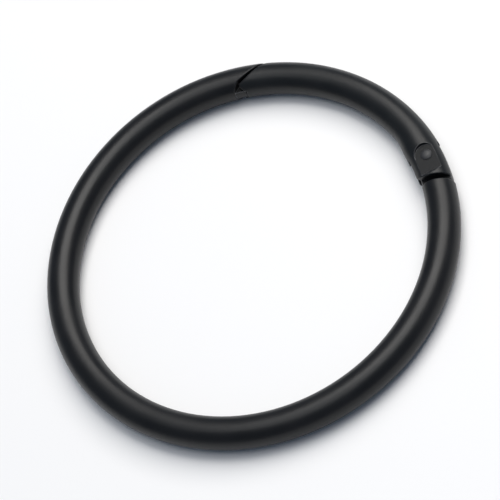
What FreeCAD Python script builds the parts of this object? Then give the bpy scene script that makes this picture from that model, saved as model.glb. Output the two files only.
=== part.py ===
"""Spring gate ring: a round snap ring of thick wire with a gate that opens inwards.

The ring lies flat in the XY plane with its centre at the origin and +Z along its axis.
The gate turns about a rivet that crosses the wire on the +X axis. It runs anticlockwise,
as seen from +Z, from the rivet to the closing joint. All sizes are in millimetres.

Places on the wire are given by two numbers: how far along the centre line from the rivet,
anticlockwise positive, and how far out from the centre line, away from the ring's centre.
"""
import FreeCAD, Part
import math
import os

from FreeCAD import Vector

# ---- ring ----
EYE_DIAMETER = 50.0
WIRE_DIAMETER = 4.5
WIRE_RADIUS = WIRE_DIAMETER / 2
RING_RADIUS = (EYE_DIAMETER + WIRE_DIAMETER) / 2

# ---- hinge: a tongue on the body between two cheeks of the gate ----
TONGUE_THICKNESS = 1.5
TONGUE_END_RADIUS = 2.45
SLOT_FLOOR_RADIUS = 2.78
SLOT_WIDTH = 1.6
TAIL_RADIUS = 3.45
TAIL_TANGENT_DEG = -106.7
HINGE_GAP = 0.8
SLEEVE_STANDS_PROUD = 0.42
SLEEVE_FULL_TO = 2.0
SLEEVE_FADES_BY = 6.5

# ---- hinge rivet, and the pocket each of its heads stands in ----
PIN_RADIUS = 0.6
PIN_CLEARANCE = 0.05
HEAD_RADIUS = 0.8
HEAD_HEIGHT = 0.38
HEAD_RIM = 0.08
POCKET_DEPTH = 0.45
POCKET_RADIUS = 1.6
POCKET_WALL_RUN = 0.1
POCKET_LENGTH = 2.7
POCKET_RAMP_RUN = 0.45

# ---- plunger and spring in a blind bore along the gate, working on a cam on the tongue ----
BORE_OFFSET = 0.9
BORE_RADIUS = 1.1
BORE_MOUTH = 1.2
BORE_BOTTOM = 8.6
CAM_HEIGHT = 1.5
CAM_CLEARANCE = 0.03
CAM_SWEEP_DEG = 52.0
CAM_POINTS = 13
PLUNGER_RADIUS = 1.05
PLUNGER_DOME_RADIUS = 1.3
PLUNGER_LENGTH = 1.45
SPIGOT_RADIUS = 0.5
SPIGOT_LENGTH = 1.3
SPRING_WIRE_RADIUS = 0.225
SPRING_OUTER_RADIUS = 1.0
SPRING_COILS = 10.5
SPRING_END_GAP = 0.03

# ---- closing joint: an outer beak and a middle fin on the body, a forked nose on the gate ----
BEAK_TIP = (30.65, 2.25)
BEAK_MIDDLE = (32.4, 0.42)
BEAK_ROOT = (34.3, -0.86)
CLOSING_GAP = 0.35
NOSE_RUN = 0.45
NOSE_ROUND = 0.3
NOSE_CLEARANCE = 0.2
NOSE_HEEL = (33.5, -2.25)
FIN_THICKNESS = 1.4
FIN_SLOT_WIDTH = 1.6
FIN_REACH = 30.4
FIN_END_CLEARANCE = 0.2

# ---- finish of the cut ends of the bar, and how deep tongue and fin lie under its surface ----
END_ROUND = 0.15
CORE_DEPTH = 0.12

# ---- how far blanks and cutting tools run past the finished shape ----
BLANK_START_DEG = 58.0
BLANK_END_DEG = 367.0
GATE_SECTIONS = 30
MARGIN = 6.0
TOOL_TOP = WIRE_RADIUS + MARGIN
ROOT_DEPTH = 2.0
CLOSING_BACK_RADIUS = 23.0
RELIEF_SWEEP_DEG = 6.0
FIN_SLOT_BEFORE_DEG = 30.0
FIN_SLOT_PAST_DEG = 12.0
NOSE_BACK_DEG = 25.0

UP = Vector(0, 0, 1)
ALONG = Vector(0, 1, 0)
PIN = Vector(RING_RADIUS, 0, 0)
BORE_AXIS = PIN - Vector(BORE_OFFSET, 0, 0)


# ---- places ----

def on_wire(along, out):
    """Point at a distance along the centre line from the rivet and out from it."""
    angle = along / RING_RADIUS
    radius = RING_RADIUS + out
    return Vector(radius * math.cos(angle), radius * math.sin(angle), 0)


def about_pin(radius, degrees):
    """Point at a radius and direction from the rivet's axis."""
    angle = math.radians(degrees)
    return PIN + Vector(radius * math.cos(angle), radius * math.sin(angle), 0)


def from_pin(x, y):
    """Point by its offset from the rivet's axis."""
    return PIN + Vector(x, y, 0)


def direction_from_pin(point):
    """Direction of a point from the rivet's axis, in degrees."""
    offset = point - PIN
    return math.degrees(math.atan2(offset.y, offset.x))


def where_line_reaches(start, heading, radius):
    """Point on a line from start along a unit heading, at a radius from the rivet's axis."""
    offset = start - PIN
    half = offset.dot(heading)
    rest = offset.dot(offset) - radius * radius
    return start + heading * (math.sqrt(half * half - rest) - half)


# ---- outlines and solids ----

def straight(points):
    """Straight edges through points, in order."""
    return [Part.makeLine(a, b) for a, b in zip(points, points[1:])]


def arc_about_pin(radius, start_deg, end_deg):
    """Arc edge about the rivet's axis."""
    start = about_pin(radius, start_deg)
    middle = about_pin(radius, (start_deg + end_deg) / 2)
    end = about_pin(radius, end_deg)
    return Part.Arc(start, middle, end).toShape()


def rounded_corner(before, corner, after, radius):
    """Arc that rounds the corner between two straight lines, with its two ends."""
    back = (before - corner).normalize()
    on = (after - corner).normalize()
    half_angle = back.getAngle(on) / 2
    start = corner + back * (radius / math.tan(half_angle))
    end = corner + on * (radius / math.tan(half_angle))
    inwards = (back + on).normalize()
    middle = corner + inwards * (radius / math.sin(half_angle) - radius)
    return Part.Arc(start, middle, end).toShape(), start, end


def prism(edges, bottom, top):
    """Upright solid on a closed outline, between two heights."""
    face = Part.Face(Part.Wire(edges))
    face.translate(UP * bottom)
    return face.extrude(UP * (top - bottom))


def through(edges):
    """Cutting tool on an outline, right through the wire."""
    return prism(edges, -TOOL_TOP, TOOL_TOP)


def layer(edges, thickness):
    """Prism on an outline, evenly on both sides of the ring's middle plane."""
    return prism(edges, -thickness / 2, thickness / 2)


def upright_cylinder(radius, bottom, top):
    """Cylinder on the rivet's axis between two heights."""
    return Part.makeCylinder(radius, top - bottom, PIN + UP * bottom, UP)


def along_bore(radius, start, end):
    """Cylinder on the bore's axis between two distances from the rivet."""
    return Part.makeCylinder(radius, end - start, BORE_AXIS + ALONG * start, ALONG)


def on_both_faces(tool):
    """A tool for the upper face and its mirror image for the lower face."""
    return [tool, tool.mirror(Vector(0, 0, 0), UP)]


# ---- closing joint ----

def beak_curve(setback):
    """Sloping line of the joint from tip to root, set back from the beak towards the gate.

    Gives its points, and the headings in which it runs on past the tip and past the root.
    """
    places = [on_wire(*place) for place in (BEAK_TIP, BEAK_MIDDLE, BEAK_ROOT)]
    centre = Part.Arc(*places).toShape().Curve.Center
    spokes = [place - centre for place in places]
    points = [centre + spoke * (1 + setback / spoke.Length) for spoke in spokes]
    past_tip = UP.cross(spokes[0]).normalize()
    past_root = spokes[2].cross(UP).normalize()
    return points, past_tip, past_root


def nose_point():
    """The point of the gate's nose, before it is rounded."""
    points, _, past_root = beak_curve(CLOSING_GAP)
    return points[2] + past_root * NOSE_RUN


def relief_radius():
    """Radius about the rivet of the wall behind the gate's nose."""
    return (nose_point() - PIN).Length + NOSE_CLEARANCE


def beak_outline():
    """Region the gate's two cheeks need: under the beak, and round the rivet past it."""
    points, past_tip, past_root = beak_curve(0.0)
    radius = relief_radius()
    corner = where_line_reaches(points[2], past_root, radius)
    outside = points[0] + past_tip * MARGIN
    start_deg = direction_from_pin(corner)
    end_deg = start_deg + RELIEF_SWEEP_DEG
    inner_back = about_pin(CLOSING_BACK_RADIUS, end_deg)
    outer_back = about_pin(CLOSING_BACK_RADIUS, direction_from_pin(outside))
    edges = [Part.Arc(*points).toShape(), Part.makeLine(points[2], corner)]
    edges.append(arc_about_pin(radius, start_deg, end_deg))
    return edges + straight([about_pin(radius, end_deg), inner_back, outer_back, outside, points[0]])


def fin_outline():
    """The fin, which ends on a circle about the rivet and is rooted in the body behind it."""
    points, past_tip, _ = beak_curve(0.0)
    outer_deg = direction_from_pin(points[0] + past_tip * MARGIN)
    inner_deg = direction_from_pin(points[2]) + RELIEF_SWEEP_DEG
    root = relief_radius() + ROOT_DEPTH
    return [
        arc_about_pin(FIN_REACH, outer_deg, inner_deg),
        Part.makeLine(about_pin(FIN_REACH, inner_deg), about_pin(root, inner_deg)),
        arc_about_pin(root, inner_deg, outer_deg),
        Part.makeLine(about_pin(root, outer_deg), about_pin(FIN_REACH, outer_deg)),
    ]


def nose_outline():
    """Region past the gate's pointed nose, which the gate gives up."""
    points, past_tip, _ = beak_curve(CLOSING_GAP)
    point = nose_point()
    heel = on_wire(*NOSE_HEEL)
    tip_arc, arc_start, arc_end = rounded_corner(points[2], point, heel, NOSE_ROUND)
    outside = points[0] + past_tip * MARGIN
    inside = heel + (heel - point).normalize() * MARGIN
    far = (point - PIN).Length + 2 * MARGIN
    far_inside = about_pin(far, direction_from_pin(point) + NOSE_BACK_DEG)
    far_outside = about_pin(far, direction_from_pin(outside))
    edges = [Part.Arc(*points).toShape(), Part.makeLine(points[2], arc_start), tip_arc]
    return edges + straight([arc_end, inside, far_inside, far_outside, outside, points[0]])


def fin_slot():
    """Slot across the gate's nose for the fin, with its floor on a circle about the rivet."""
    radius = FIN_REACH - FIN_END_CLEARANCE
    centre_deg = direction_from_pin(on_wire(*BEAK_ROOT))
    start_deg = centre_deg - FIN_SLOT_BEFORE_DEG
    end_deg = centre_deg + FIN_SLOT_PAST_DEG
    start = about_pin(radius, start_deg)
    far = radius + 2 * MARGIN
    back = [about_pin(radius, end_deg), about_pin(far, end_deg), about_pin(far, start_deg)]
    edges = [arc_about_pin(radius, start_deg, end_deg)] + straight(back + [start])
    return layer(edges, FIN_SLOT_WIDTH)


# ---- hinge ----

def tail_line(gap):
    """End line of the gate's tail set back by gap: round inside, straight outside."""
    radius = TAIL_RADIUS + gap
    join = about_pin(radius, TAIL_TANGENT_DEG)
    outwards = UP.cross((join - PIN).normalize())
    outside = join + outwards * MARGIN
    edges = [arc_about_pin(radius, -180, TAIL_TANGENT_DEG), Part.makeLine(join, outside)]
    return edges, about_pin(radius, -180), outside


def shoulder_outline():
    """Region on the gate's side of the body's shoulder."""
    edges, inside, outside = tail_line(HINGE_GAP)
    return edges + straight([outside, from_pin(MARGIN, MARGIN), from_pin(-MARGIN, MARGIN), inside])


def tail_outline():
    """Region past the gate's tail, which the gate gives up."""
    edges, inside, outside = tail_line(0.0)
    far = 2 * MARGIN
    back = [outside, from_pin(far, -far), from_pin(-far, -far), from_pin(-far, 0), inside]
    return edges + straight(back)


def cam_point(turned_deg):
    """Point of the cam that meets the plunger when the gate has turned by an angle.

    The cam is an involute about the rivet, so the plunger moves by the same amount for
    every degree and always touches on the bore's axis.
    """
    turned = math.radians(turned_deg)
    reach = CAM_HEIGHT - CAM_CLEARANCE + BORE_OFFSET * turned
    x = -BORE_OFFSET * math.cos(turned) - reach * math.sin(turned)
    y = -BORE_OFFSET * math.sin(turned) + reach * math.cos(turned)
    return from_pin(x, y)


def cam_curve():
    """The cam as one smooth edge, starting where the plunger rests when the gate is shut."""
    step = CAM_SWEEP_DEG / (CAM_POINTS - 1)
    points = [cam_point(step * index) for index in range(CAM_POINTS)]
    curve = Part.BSplineCurve()
    curve.interpolate(points)
    return curve.toShape(), points[0], points[-1]


def tongue_outline():
    """The tongue: the cam and a straight end with a round corner, rooted in the body."""
    cam, cam_start, cam_end = cam_curve()
    corner_deg = math.degrees(math.asin((CAM_HEIGHT - CAM_CLEARANCE) / TONGUE_END_RADIUS))
    root = -(TAIL_RADIUS + HINGE_GAP + ROOT_DEPTH)
    outer_side = [about_pin(TONGUE_END_RADIUS, 0), from_pin(MARGIN, 0), from_pin(MARGIN, root)]
    inner_side = [from_pin(-MARGIN, root), Vector(PIN.x - MARGIN, cam_end.y, 0), cam_end]
    edges = [cam, Part.makeLine(cam_start, about_pin(TONGUE_END_RADIUS, corner_deg))]
    edges.append(arc_about_pin(TONGUE_END_RADIUS, corner_deg, 0))
    return edges + straight(outer_side + inner_side)


def tongue_slot():
    """Slot between the gate's cheeks, round about the rivet and open past the tail."""
    radius = SLOT_FLOOR_RADIUS
    far = 2 * MARGIN
    back = [from_pin(-radius, 0), from_pin(-far, 0), from_pin(-far, -far)]
    back += [from_pin(far, -far), from_pin(far, 0), from_pin(radius, 0)]
    edges = [arc_about_pin(radius, 0, 180)] + straight(back)
    return layer(edges, SLOT_WIDTH)


def pocket_tool():
    """Cutter for the pocket round a rivet head: round past the rivet, ramped at the tail."""
    floor = WIRE_RADIUS - POCKET_DEPTH
    top = WIRE_RADIUS + POCKET_DEPTH
    wide = POCKET_RADIUS + 2 * POCKET_WALL_RUN
    round_end = Part.makeCone(POCKET_RADIUS, wide, top - floor, PIN + UP * floor, UP)
    ramp_top = -POCKET_LENGTH - 2 * POCKET_RAMP_RUN
    side = [(0, floor), (0, top), (ramp_top, top), (-POCKET_LENGTH, floor), (0, floor)]
    corners = [PIN + Vector(-MARGIN, y, z) for y, z in side]
    straight_end = Part.Face(Part.Wire(straight(corners))).extrude(Vector(2 * MARGIN, 0, 0))
    return round_end.fuse(straight_end)


# ---- pieces ----

def bent_bar(radius):
    """Round bar bent to the ring's radius, from before the beak to past the tongue."""
    sweep = BLANK_END_DEG - BLANK_START_DEG
    bar = Part.makeTorus(RING_RADIUS, radius, Vector(0, 0, 0), UP, 0, 360, sweep)
    bar.rotate(Vector(0, 0, 0), UP, BLANK_START_DEG)
    return bar


def with_rounded_ends(bar, bar_surface):
    """Bar whose cut ends have their sharp rims rounded off."""
    sides = [face for face in bar.Faces if isinstance(face.Surface, bar_surface)]
    ends = [face for face in bar.Faces if not isinstance(face.Surface, bar_surface)]
    end_edges = [edge for face in ends for edge in face.Edges]
    side_edges = [edge for face in sides for edge in face.Edges]
    rims = [edge for edge in side_edges if any(edge.isSame(other) for other in end_edges)]
    return bar.makeFillet(END_ROUND, rims)


def ring_body():
    """The fixed C of the ring, with its beak and fin at one end and the tongue at the other."""
    bar = bent_bar(WIRE_RADIUS).cut([through(beak_outline()), through(shoulder_outline())])
    bar = with_rounded_ends(bar.Solids[0], Part.Toroid)
    core = bent_bar(WIRE_RADIUS - CORE_DEPTH)
    fin = core.common(layer(fin_outline(), FIN_THICKNESS))
    hole = upright_cylinder(PIN_RADIUS + PIN_CLEARANCE, -TOOL_TOP, TOOL_TOP)
    tongue = core.common(layer(tongue_outline(), TONGUE_THICKNESS)).cut(hole)
    return bar.fuse([fin, tongue]).removeSplitter().Solids[0]


def sleeve_height(along):
    """How far the gate's hinge end stands proud of the wire on the inside."""
    if along <= SLEEVE_FULL_TO:
        return SLEEVE_STANDS_PROUD
    if along >= SLEEVE_FADES_BY:
        return 0.0
    fade = (along - SLEEVE_FULL_TO) / (SLEEVE_FADES_BY - SLEEVE_FULL_TO)
    return SLEEVE_STANDS_PROUD * (1 + math.cos(math.pi * fade)) / 2


def wire_section(along):
    """Cross-section of the gate: round, and deeper on the inside at the hinge."""
    proud = sleeve_height(along)
    centre = on_wire(along, -proud / 2)
    outward = on_wire(along, 1) - on_wire(along, 0)
    if proud == 0.0:
        circle = Part.Circle(centre, outward.cross(UP), WIRE_RADIUS)
        circle.XAxis = outward
        return Part.Wire(circle.toShape())
    outer = centre + outward * (WIRE_RADIUS + proud / 2)
    return Part.Wire(Part.Ellipse(outer, centre + UP * WIRE_RADIUS, centre).toShape())


def gate_blank():
    """The gate's outside shape, run on past both of its ends."""
    start = -(TAIL_RADIUS + MARGIN / 2)
    length = BEAK_ROOT[0] + MARGIN / 2 - start
    step = length / GATE_SECTIONS
    sections = [wire_section(start + step * index) for index in range(GATE_SECTIONS + 1)]
    return Part.makeLoft(sections, True, False)


def gate():
    """The moving arm: cheeks and pockets at the hinge, a blind bore, and a forked nose."""
    bar = gate_blank().cut([through(nose_outline()), through(tail_outline())]).Solids[0]
    bar = with_rounded_ends(bar, Part.BSplineSurface)
    tools = [fin_slot(), tongue_slot(), upright_cylinder(PIN_RADIUS, -TOOL_TOP, TOOL_TOP)]
    tools += on_both_faces(pocket_tool())
    tools.append(along_bore(BORE_RADIUS, BORE_MOUTH, BORE_BOTTOM))
    return bar.cut(tools).Solids[0]


def hinge_rivet():
    """Plain pin with a low domed head peened over each cheek."""
    seat = WIRE_RADIUS - POCKET_DEPTH
    rim = seat + HEAD_RIM
    top = seat + HEAD_HEIGHT
    shoulder = Vector(HEAD_RADIUS, 0, rim)
    sag = HEAD_HEIGHT - HEAD_RIM
    dome_radius = (HEAD_RADIUS ** 2 + sag ** 2) / (2 * sag)
    half_reach = HEAD_RADIUS / 2
    half_height = top - dome_radius + math.sqrt(dome_radius ** 2 - half_reach ** 2)
    dome = Part.Arc(shoulder, Vector(half_reach, 0, half_height), Vector(0, 0, top)).toShape()
    corners = [Vector(0, 0, top), Vector(0, 0, 0), Vector(PIN_RADIUS, 0, 0), Vector(PIN_RADIUS, 0, seat)]
    corners += [Vector(HEAD_RADIUS, 0, seat), shoulder]
    profile = Part.Face(Part.Wire([dome] + straight(corners)))
    half = profile.revolve(Vector(0, 0, 0), UP, 360)
    rivet = half.fuse(half.mirror(Vector(0, 0, 0), UP)).removeSplitter()
    rivet.translate(PIN)
    return rivet


def spring_plunger():
    """Domed pusher that rides on the cam, with a spigot that centres the spring."""
    dome_centre = CAM_HEIGHT + PLUNGER_DOME_RADIUS
    rear = CAM_HEIGHT + PLUNGER_LENGTH
    dome = Part.makeSphere(PLUNGER_DOME_RADIUS, BORE_AXIS + ALONG * dome_centre)
    front = dome.common(along_bore(PLUNGER_RADIUS, CAM_HEIGHT, dome_centre))
    barrel = along_bore(PLUNGER_RADIUS, dome_centre, rear)
    spigot = along_bore(SPIGOT_RADIUS, dome_centre, rear + SPIGOT_LENGTH)
    return front.fuse([barrel, spigot]).removeSplitter()


def gate_spring():
    """Round-wire compression spring between the plunger and the bottom of the bore."""
    start = CAM_HEIGHT + PLUNGER_LENGTH + SPRING_WIRE_RADIUS + SPRING_END_GAP
    end = BORE_BOTTOM - SPRING_WIRE_RADIUS - SPRING_END_GAP
    coil_radius = SPRING_OUTER_RADIUS - SPRING_WIRE_RADIUS
    length = end - start
    helix = Part.makeHelix(length / SPRING_COILS, length, coil_radius)
    section = Part.Wire(Part.Circle(Vector(coil_radius, 0, 0), ALONG, SPRING_WIRE_RADIUS).toShape())
    coil = Part.Wire(helix.Edges).makePipeShell([section], True, True)
    coil.rotate(Vector(0, 0, 0), Vector(1, 0, 0), -90)
    coil.translate(BORE_AXIS + ALONG * start)
    return coil


PIECES = {
    "ring_body": ring_body,
    "gate": gate,
    "hinge_rivet": hinge_rivet,
    "spring_plunger": spring_plunger,
    "gate_spring": gate_spring,
}


def main():
    """Write one STEP file for each piece."""
    os.makedirs("parts", exist_ok=True)
    for name, make in PIECES.items():
        make().exportStep(f"parts/{name}.step")


main()
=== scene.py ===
import math

import bmesh
import bpy
from mathutils import Matrix, Vector


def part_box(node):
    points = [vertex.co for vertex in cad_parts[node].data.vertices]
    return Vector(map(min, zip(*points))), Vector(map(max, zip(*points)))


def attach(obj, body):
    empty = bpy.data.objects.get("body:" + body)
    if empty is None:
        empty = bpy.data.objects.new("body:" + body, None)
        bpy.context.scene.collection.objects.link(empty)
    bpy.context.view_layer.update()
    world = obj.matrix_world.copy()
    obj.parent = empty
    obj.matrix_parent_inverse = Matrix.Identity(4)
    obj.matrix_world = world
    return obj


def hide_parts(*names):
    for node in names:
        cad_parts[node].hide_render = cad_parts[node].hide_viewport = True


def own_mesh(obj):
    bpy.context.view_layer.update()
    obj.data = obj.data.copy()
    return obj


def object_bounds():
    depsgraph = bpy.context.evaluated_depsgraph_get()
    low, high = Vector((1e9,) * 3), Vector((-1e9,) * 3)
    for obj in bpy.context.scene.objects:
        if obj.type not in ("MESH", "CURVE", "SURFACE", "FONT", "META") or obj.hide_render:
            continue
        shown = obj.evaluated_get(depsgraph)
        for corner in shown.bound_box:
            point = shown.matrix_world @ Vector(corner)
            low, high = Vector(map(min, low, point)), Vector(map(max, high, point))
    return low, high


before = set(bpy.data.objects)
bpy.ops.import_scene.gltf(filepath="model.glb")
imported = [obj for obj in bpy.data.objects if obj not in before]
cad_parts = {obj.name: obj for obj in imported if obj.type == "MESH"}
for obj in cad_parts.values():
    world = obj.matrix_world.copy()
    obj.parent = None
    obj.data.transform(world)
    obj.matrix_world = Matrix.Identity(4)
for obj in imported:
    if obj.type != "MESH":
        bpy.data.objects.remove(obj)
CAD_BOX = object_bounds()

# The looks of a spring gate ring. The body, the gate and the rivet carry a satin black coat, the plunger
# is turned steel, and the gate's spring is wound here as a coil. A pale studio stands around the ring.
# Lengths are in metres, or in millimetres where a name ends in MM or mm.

MM = 0.001

# ---- patterns: noise scales count features per millimetre ----
FULL = (0.0, 1.0)
NOISE_MIDDLE = (0.3, 0.7)
SEED_SHIFT = (1.0, 0.7, -1.0)
CLOUD_SCALE = 0.18
PEEL_SCALE = 1.6
GRAIN_SCALE = 9.0
SPECK_SCALE = 14.0
RUBBED_SCALE = 0.9
STAIN_SCALE = 0.9
FINE_ROUGHNESS = 0.6

# ---- black coat: colour ----
SPECK_NOISE = (0.72, 0.80)
SPECK_SHARE = (0.0, 0.35)
SPECK_GAIN = 3.0
# Lighter grey painted along sharp edges: partly wear, partly a painted edge highlight.
WEAR_AND_HIGHLIGHT_COLOUR = (0.22, 0.22, 0.23)
RUBBED_NOISE = (0.36, 0.58)
RUBBED_SHARE = (0.3, 1.0)

# ---- black coat: gloss and relief ----
CLOUD_DULLING = (-0.03, 0.04)
GRAIN_DULLING = (-0.03, 0.03)
WORN_POLISH = 0.08
ROUND_TO_FLAT_IOR = (1.5, 1.33)
PEEL_DEPTH_MM = 0.016
PEEL_STRENGTH = 0.5
GRAIN_DEPTH_MM = 0.006
GRAIN_STRENGTH = 0.6
COAT_ROUNDING_MM = 0.12

# ---- where the wear and the painted edge highlight lie: cosine between the true normal and that of a rounded edge ----
BEVEL_SAMPLES = 6
EDGE_COSINE = (0.985, 0.86)

# ---- where the cut faces lie: just below the wire's crown, and level ----
CROWN_MM = 2.2
BELOW_CROWN_MM = 0.1
LEVEL_COSINE = (0.97, 0.99)

# ---- steel ----
STAIN_NOISE = (0.4, 0.7)
STAIN_GAIN = 0.72
LINE_DULLING = (-0.07, 0.09)
LINE_DEPTH_MM = 0.004
LINE_STRENGTH = 0.5

# ---- spring: wound between the bore's bottom and the plunger; the real spring is pressed when the gate is open ----
SPRING_WIRE_RADIUS_MM = 0.225
SPRING_TURNS = 10.5
SPRING_CLOSED_TURNS_PER_END = 1.0
SPRING_CLOSED_PITCH_MM = 0.455
SPRING_END_HEIGHT_IN_WIRE_RADII = 0.3
SPRING_STEPS_PER_TURN = 40
SPRING_SIDES = 12
GROUND_FACE_COSINE = 0.999

# ---- camera: where the ring is seen from, and how large it is shown ----
CAMERA_AZIMUTH_DEG = -81.3
CAMERA_ELEVATION_DEG = 56.4
CAMERA_ROLL_DEG = 33.65
CAMERA_DISTANCE = 0.3635
CAMERA_LENS_MM = 192.0
CAMERA_NEAREST = 0.01
SENSOR_MM = 36.0

# ---- table: it fades into an even tone away from the ring ----
FLOOR_SIZE = 6.0
FLOOR_TONES = ((0.867, 0.863, 0.857), (0.882, 0.878, 0.872))
FLOOR_CLOUD_SCALE = 0.02
FLOOR_ROUGHNESS = 0.6
PALE = (0.90, 0.905, 0.91)
FADE_MM = (90.0, 450.0)

# ---- light ----
LIGHT_DISTANCE = 0.60
LIGHT_SIDE = 0.50
SKY_COLOUR = (0.60, 0.75, 1.0)
SKY_STRENGTH = 0.22


# ---- node helpers ----

def new_material(name):
    """Node material with a Principled shader on its output."""
    material = bpy.data.materials.new(name)
    material.use_nodes = True
    tree = material.node_tree
    tree.nodes.clear()
    output = tree.nodes.new("ShaderNodeOutputMaterial")
    shader = tree.nodes.new("ShaderNodeBsdfPrincipled")
    tree.links.new(shader.outputs["BSDF"], output.inputs["Surface"])
    return material, tree, shader


def object_coordinates(tree, factors=(1.0, 1.0, 1.0), shift=(0.0, 0.0, 0.0)):
    """Place on the piece in millimetres, multiplied along each axis and then shifted."""
    place = tree.nodes.new("ShaderNodeTexCoord")
    mapping = tree.nodes.new("ShaderNodeMapping")
    mapping.inputs["Scale"].default_value = [factor / MM for factor in factors]
    mapping.inputs["Location"].default_value = shift
    tree.links.new(place.outputs["Object"], mapping.inputs["Vector"])
    return mapping.outputs["Vector"]


def noise(tree, vector, scale, detail=2.0, roughness=0.5):
    """Noise with a value around one half."""
    node = tree.nodes.new("ShaderNodeTexNoise")
    node.inputs["Scale"].default_value = scale
    node.inputs["Detail"].default_value = detail
    node.inputs["Roughness"].default_value = roughness
    tree.links.new(vector, node.inputs["Vector"])
    return node.outputs["Fac"]


def remap(tree, value, source, target):
    """Linear remapping of a value from one range to another, held inside the second."""
    node = tree.nodes.new("ShaderNodeMapRange")
    node.clamp = True
    for name, number in zip(("From Min", "From Max", "To Min", "To Max"), (*source, *target)):
        node.inputs[name].default_value = number
    tree.links.new(value, node.inputs["Value"])
    return node.outputs["Result"]


def maths(tree, operation, first, second=0.0):
    """One arithmetic step on two values or numbers."""
    node = tree.nodes.new("ShaderNodeMath")
    node.operation = operation
    for socket, value in zip(node.inputs, (first, second)):
        if isinstance(value, float):
            socket.default_value = value
        else:
            tree.links.new(value, socket)
    return node.outputs["Value"]


def mix_colour(tree, factor, first, second):
    """Mix of two colours by a value."""
    node = tree.nodes.new("ShaderNodeMix")
    node.data_type = "RGBA"
    tree.links.new(factor, node.inputs["Factor"])
    for name, colour in (("A", first), ("B", second)):
        socket = [s for s in node.inputs if s.name == name and s.type == "RGBA"][0]
        if isinstance(colour, tuple):
            socket.default_value = (*colour, 1.0)
        else:
            tree.links.new(colour, socket)
    return [s for s in node.outputs if s.type == "RGBA"][0]


def rounded_normal(tree, radius_mm):
    """Surface normal as if every edge were rounded to a radius."""
    bevel = tree.nodes.new("ShaderNodeBevel")
    bevel.samples = BEVEL_SAMPLES
    bevel.inputs["Radius"].default_value = radius_mm * MM
    return bevel.outputs["Normal"]


def edge_mask(tree, radius_mm):
    """One along sharp edges and zero on open surface."""
    geometry = tree.nodes.new("ShaderNodeNewGeometry")
    dot = tree.nodes.new("ShaderNodeVectorMath")
    dot.operation = "DOT_PRODUCT"
    tree.links.new(rounded_normal(tree, radius_mm), dot.inputs[0])
    tree.links.new(geometry.outputs["Normal"], dot.inputs[1])
    return remap(tree, dot.outputs["Value"], EDGE_COSINE, FULL)


def size_along_z(tree, vector):
    """Size of a vector's Z part, up or down."""
    split = tree.nodes.new("ShaderNodeSeparateXYZ")
    tree.links.new(vector, split.inputs["Vector"])
    return maths(tree, "ABSOLUTE", split.outputs["Z"])


def flat_mask(tree):
    """One on the level cut faces below the crown of the wire, zero on the round wire."""
    place = tree.nodes.new("ShaderNodeTexCoord")
    geometry = tree.nodes.new("ShaderNodeNewGeometry")
    height = size_along_z(tree, place.outputs["Object"])
    below = remap(tree, height, (CROWN_MM * MM, (CROWN_MM - BELOW_CROWN_MM) * MM), FULL)
    level = remap(tree, size_along_z(tree, geometry.outputs["True Normal"]), LEVEL_COSINE, FULL)
    return maths(tree, "MULTIPLY", below, level)


def bump(tree, height, depth_mm, strength, under=None):
    """Surface relief from a height, on top of another normal if one is given."""
    node = tree.nodes.new("ShaderNodeBump")
    node.inputs["Strength"].default_value = strength
    node.inputs["Distance"].default_value = depth_mm * MM
    tree.links.new(height, node.inputs["Height"])
    if under is not None:
        tree.links.new(under, node.inputs["Normal"])
    return node.outputs["Normal"]


def blend_shaders(tree, factor, first, second, output):
    """Send a mix of two shaders to an output."""
    blended = tree.nodes.new("ShaderNodeMixShader")
    for socket, source in zip(blended.inputs, (factor, first, second)):
        tree.links.new(source, socket)
    tree.links.new(blended.outputs["Shader"], output.inputs["Surface"])


# ---- materials ----

def black_coat(name, seed, dark, light, roughness, wear_and_highlight, edge_mm=0.18, specular=0.32):
    """Satin black electro-coat: grain, faint orange peel, duller on cut faces, and lighter along edges,
    partly as wear and partly as a painted edge highlight.
    """
    material, tree, shader = new_material(name)
    place = object_coordinates(tree, shift=[seed * part for part in SEED_SHIFT])
    cloud = noise(tree, place, CLOUD_SCALE, detail=3.0)
    peel = noise(tree, place, PEEL_SCALE)
    grain = noise(tree, place, GRAIN_SCALE, detail=3.0, roughness=FINE_ROUGHNESS)
    specks = noise(tree, place, SPECK_SCALE, detail=1.0)
    rubbed = remap(tree, noise(tree, place, RUBBED_SCALE, detail=3.0), RUBBED_NOISE, RUBBED_SHARE)
    # Patchy mask along sharp edges for the lighter grey: partly wear, partly a painted edge highlight.
    wear_and_highlight_mask = maths(tree, "MULTIPLY", edge_mask(tree, edge_mm), rubbed)

    tone = mix_colour(tree, remap(tree, cloud, NOISE_MIDDLE, FULL), dark, light)
    speck_colour = tuple(SPECK_GAIN * part for part in light)
    tone = mix_colour(tree, remap(tree, specks, SPECK_NOISE, SPECK_SHARE), tone, speck_colour)
    # Edges painted lighter grey: partly wear, partly a painted edge highlight.
    tone = mix_colour(tree, maths(tree, "MULTIPLY", wear_and_highlight_mask, wear_and_highlight), tone, WEAR_AND_HIGHLIGHT_COLOUR)
    tree.links.new(tone, shader.inputs["Base Color"])

    clouded = [roughness + change for change in CLOUD_DULLING]
    rough = remap(tree, cloud, NOISE_MIDDLE, clouded)
    rough = maths(tree, "ADD", rough, remap(tree, grain, NOISE_MIDDLE, GRAIN_DULLING))
    rough = maths(tree, "SUBTRACT", rough, maths(tree, "MULTIPLY", wear_and_highlight_mask, WORN_POLISH))
    tree.links.new(rough, shader.inputs["Roughness"])
    tree.links.new(remap(tree, flat_mask(tree), FULL, ROUND_TO_FLAT_IOR), shader.inputs["IOR"])
    shader.inputs["Specular IOR Level"].default_value = specular

    relief = bump(tree, peel, PEEL_DEPTH_MM, PEEL_STRENGTH, rounded_normal(tree, COAT_ROUNDING_MM))
    relief = bump(tree, grain, GRAIN_DEPTH_MM, GRAIN_STRENGTH, relief)
    tree.links.new(relief, shader.inputs["Normal"])
    return material


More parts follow.
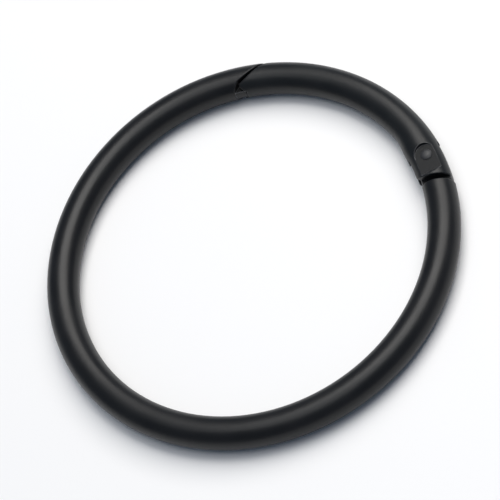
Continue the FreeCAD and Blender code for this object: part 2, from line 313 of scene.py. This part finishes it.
def steel(name, colour, roughness, factors, scale):
    """Bright steel with fine lines, which lie closest along the axis with the largest factor."""
    material, tree, shader = new_material(name)
    place = object_coordinates(tree, factors)
    lines = noise(tree, place, scale, detail=4.0, roughness=FINE_ROUGHNESS)
    stain = noise(tree, object_coordinates(tree), STAIN_SCALE, detail=3.0)
    stained = tuple(STAIN_GAIN * part for part in colour)
    tone = mix_colour(tree, remap(tree, stain, STAIN_NOISE, FULL), colour, stained)
    tree.links.new(tone, shader.inputs["Base Color"])
    shader.inputs["Metallic"].default_value = 1.0
    lined = [roughness + change for change in LINE_DULLING]
    tree.links.new(remap(tree, lines, NOISE_MIDDLE, lined), shader.inputs["Roughness"])
    tree.links.new(bump(tree, lines, LINE_DEPTH_MM, LINE_STRENGTH), shader.inputs["Normal"])
    return material


# How strongly each coat's edges are painted lighter is partly wear and partly a painted edge highlight.
body_coat = black_coat(
    "satin_black_body",
    seed=3.1,
    dark=(0.0055, 0.0058, 0.0064),
    light=(0.0078, 0.0081, 0.0088),
    roughness=0.36,
    wear_and_highlight=0.8,
)
gate_coat = black_coat(
    "satin_black_gate",
    seed=17.6,
    dark=(0.0060, 0.0068, 0.0075),
    light=(0.0082, 0.0092, 0.0100),
    roughness=0.37,
    wear_and_highlight=0.6,
)
rivet_coat = black_coat(
    "satin_black_rivet",
    seed=41.3,
    dark=(0.0090, 0.0095, 0.0105),
    light=(0.012, 0.0125, 0.014),
    roughness=0.60,
    wear_and_highlight=0.5,
    edge_mm=0.06,
    specular=0.85,
)
plunger_steel = steel(
    "turned_steel", colour=(0.56, 0.55, 0.53), roughness=0.30, factors=(1.0, 14.0, 1.0), scale=1.2
)
spring_steel = steel(
    "spring_steel", colour=(0.50, 0.50, 0.51), roughness=0.28, factors=(3.0, 3.0, 3.0), scale=2.0
)
finishes = {
    "ring_body": body_coat,
    "gate": gate_coat,
    "hinge_rivet": rivet_coat,
    "spring_plunger": plunger_steel,
    "gate_spring": spring_steel,
}
for node_name, finish in finishes.items():
    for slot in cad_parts[node_name].material_slots:
        slot.material = finish


# ---- gate spring ----

def spring_rise(turn, length):
    """Height of the wire's centre above the spring's lower end after a number of turns."""
    end_height = SPRING_END_HEIGHT_IN_WIRE_RADII * SPRING_WIRE_RADIUS_MM * MM
    closed_turns = SPRING_CLOSED_TURNS_PER_END
    closed_pitch = SPRING_CLOSED_PITCH_MM * MM
    open_turns = SPRING_TURNS - 2.0 * closed_turns
    open_pitch = (length - 2.0 * end_height - 2.0 * closed_turns * closed_pitch) / open_turns
    in_first_end = min(turn, closed_turns)
    in_open = min(max(turn - closed_turns, 0.0), open_turns)
    in_last_end = max(turn - closed_turns - open_turns, 0.0)
    return end_height + closed_pitch * (in_first_end + in_last_end) + open_pitch * in_open


def spring_hoops(mesh, low, high):
    """Rings of points round the spring's wire, from its lower end to its upper one."""
    middle = (low + high) / 2.0
    wire = SPRING_WIRE_RADIUS_MM * MM
    coil_radius = (high.x - low.x) / 2.0 - wire
    hoops = []
    for step in range(round(SPRING_TURNS * SPRING_STEPS_PER_TURN) + 1):
        turn = step / SPRING_STEPS_PER_TURN
        angle = turn * math.tau
        outward = Vector((math.cos(angle), 0.0, math.sin(angle)))
        axis_point = Vector((middle.x, low.y + spring_rise(turn, high.y - low.y), middle.z))
        centre = axis_point + outward * coil_radius
        hoop = []
        for side in range(SPRING_SIDES):
            around = side * math.tau / SPRING_SIDES
            offset = outward * math.cos(around) + Vector((0.0, math.sin(around), 0.0))
            hoop.append(mesh.verts.new(centre + offset * wire))
        hoops.append(hoop)
    return hoops


def skin_hoops(mesh, hoops):
    """Closed skin over a row of hoops."""
    for before, after in zip(hoops, hoops[1:]):
        for side in range(SPRING_SIDES):
            following = (side + 1) % SPRING_SIDES
            mesh.faces.new((before[side], before[following], after[following], after[side]))
    mesh.faces.new(hoops[0])
    mesh.faces.new(reversed(hoops[-1]))


def grind_end(mesh, height, facing):
    """Cut off what stands past a height along Y, and close the cut with a flat face."""
    bmesh.ops.bisect_plane(
        mesh,
        geom=mesh.verts[:] + mesh.edges[:] + mesh.faces[:],
        plane_co=(0.0, height, 0.0),
        plane_no=(0.0, facing, 0.0),
        clear_outer=True,
    )
    bmesh.ops.holes_fill(mesh, edges=[edge for edge in mesh.edges if edge.is_boundary])


def coil_spring(name, node):
    """Compression spring with closed, ground ends, wound along Y in the place of a CAD node."""
    low, high = (Vector(corner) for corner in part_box(node))
    mesh = bmesh.new()
    skin_hoops(mesh, spring_hoops(mesh, low, high))
    grind_end(mesh, low.y, -1.0)
    grind_end(mesh, high.y, 1.0)
    bmesh.ops.recalc_face_normals(mesh, faces=mesh.faces)
    for face in mesh.faces:
        face.smooth = abs(face.normal.y) < GROUND_FACE_COSINE
    data = bpy.data.meshes.new(name)
    mesh.to_mesh(data)
    mesh.free()
    data.materials.append(spring_steel)
    spring = bpy.data.objects.new(name, data)
    bpy.context.scene.collection.objects.link(spring)
    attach(spring, "gate")
    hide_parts(node)
    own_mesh(spring)


coil_spring("gate_spring_coils", "gate_spring")


# ---- floor, light and camera ----

def pale_floor():
    """Large white table top under the ring that the camera sees fade into an even pale distance."""
    low = CAD_BOX[0][2]
    bpy.ops.mesh.primitive_plane_add(size=FLOOR_SIZE, location=(0, 0, low))
    floor = bpy.context.object
    floor.name = "floor"
    material, tree, shader = new_material("floor_white")
    place = object_coordinates(tree)
    tone = mix_colour(tree, noise(tree, place, FLOOR_CLOUD_SCALE), *FLOOR_TONES)
    tree.links.new(tone, shader.inputs["Base Color"])
    shader.inputs["Roughness"].default_value = FLOOR_ROUGHNESS
    distance = tree.nodes.new("ShaderNodeVectorMath")
    distance.operation = "LENGTH"
    tree.links.new(place, distance.inputs[0])
    far = remap(tree, distance.outputs["Value"], FADE_MM, FULL)
    seen = tree.nodes.new("ShaderNodeLightPath")
    faded = maths(tree, "MULTIPLY", far, seen.outputs["Is Camera Ray"])
    glow = tree.nodes.new("ShaderNodeEmission")
    glow.inputs["Color"].default_value = (*PALE, 1.0)
    output = [node for node in tree.nodes if node.type == "OUTPUT_MATERIAL"][0]
    blend_shaders(tree, faded, shader.outputs["BSDF"], glow.outputs["Emission"], output)
    floor.data.materials.append(material)


def direction(azimuth_deg, elevation_deg):
    """Unit vector from the ring towards a place in the studio."""
    azimuth = math.radians(azimuth_deg)
    elevation = math.radians(elevation_deg)
    flat = math.cos(elevation)
    return Vector((flat * math.cos(azimuth), flat * math.sin(azimuth), math.sin(elevation)))


def softbox(name, azimuth_deg, elevation_deg, power, colour):
    """Square studio light aimed at the ring's centre."""
    data = bpy.data.lights.new(name, "AREA")
    data.shape = "SQUARE"
    data.size = LIGHT_SIDE
    data.energy = power
    data.color = colour
    light = bpy.data.objects.new(name, data)
    bpy.context.scene.collection.objects.link(light)
    away = direction(azimuth_deg, elevation_deg)
    light.location = away * LIGHT_DISTANCE
    light.rotation_euler = away.to_track_quat("Z", "Y").to_euler()


def studio_world():
    """Dim even surroundings that the camera itself sees as pale."""
    world = bpy.data.worlds.new("studio")
    world.use_nodes = True
    tree = world.node_tree
    around = tree.nodes["Background"]
    around.inputs["Color"].default_value = (*SKY_COLOUR, 1.0)
    around.inputs["Strength"].default_value = SKY_STRENGTH
    behind = tree.nodes.new("ShaderNodeBackground")
    behind.inputs["Color"].default_value = (*PALE, 1.0)
    seen = tree.nodes.new("ShaderNodeLightPath")
    output = [node for node in tree.nodes if node.type == "OUTPUT_WORLD"][0]
    backgrounds = (around.outputs["Background"], behind.outputs["Background"])
    blend_shaders(tree, seen.outputs["Is Camera Ray"], *backgrounds, output)
    bpy.context.scene.world = world


def studio_camera():
    """Camera that looks down at the ring from in front."""
    away = direction(CAMERA_AZIMUTH_DEG, CAMERA_ELEVATION_DEG)
    level = Vector((0, 0, 1)).cross(away).normalized()
    upright = away.cross(level)
    roll = math.radians(CAMERA_ROLL_DEG)
    up = upright * math.cos(roll) + level * math.sin(roll)
    right = up.cross(away)
    data = bpy.data.cameras.new("camera")
    data.lens = CAMERA_LENS_MM
    data.sensor_width = SENSOR_MM
    data.clip_start = CAMERA_NEAREST
    camera = bpy.data.objects.new("camera", data)
    turned = Matrix((right, up, away)).transposed().to_4x4()
    camera.matrix_world = Matrix.Translation(away * CAMERA_DISTANCE) @ turned
    bpy.context.scene.collection.objects.link(camera)
    bpy.context.scene.camera = camera


pale_floor()
softbox("key_light", azimuth_deg=43.0, elevation_deg=58.0, power=3.35, colour=(1.0, 0.97, 0.93))
softbox("top_light", azimuth_deg=43.0, elevation_deg=88.0, power=1.5, colour=(1.0, 1.0, 1.0))
studio_world()
bpy.context.scene.view_settings.view_transform = "Standard"
studio_camera()
